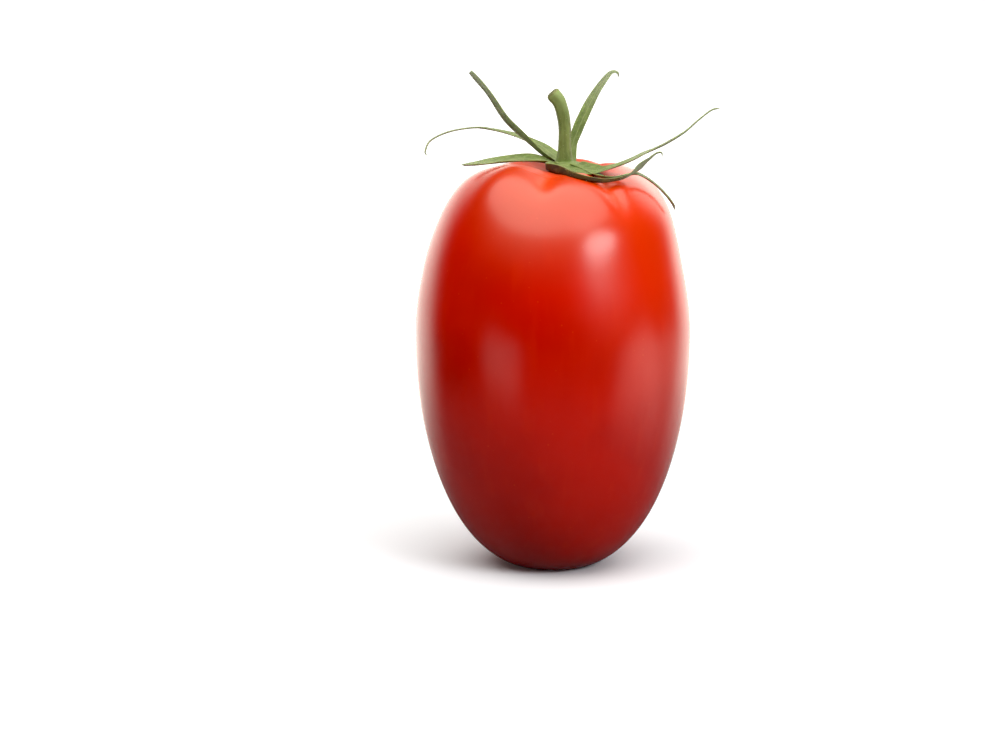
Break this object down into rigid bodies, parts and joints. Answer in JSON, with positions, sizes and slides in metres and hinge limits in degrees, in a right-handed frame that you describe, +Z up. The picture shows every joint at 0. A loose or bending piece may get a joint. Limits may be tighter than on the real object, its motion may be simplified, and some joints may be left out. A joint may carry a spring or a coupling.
{
  "type": "tomato",
  "caption": "Plum tomato standing on its blossom end: a tall red fruit with shoulder lobes, and a green calyx with long curling sepals and a short cut stem",
  "frame": {"origin": "the middle of the small flat spot at the blossom end that the fruit rests on", "axes": "+Z is up along the fruit's axis towards the stem, +X is to the right and +Y goes away when the fruit is seen from its front"},
  "size_m": [0.0572, 0.052, 0.0934],
  "materials": {
    "skin": "smooth waxy ripe tomato skin, soft gloss, orange in the furrows",
    "green": "matte finely hairy sepals and stem, paler underneath and at the cut"
  },
  "bodies": {
    "root": {"fruit": "skin", "calyx": "green"}
  },
  "joints": []
}
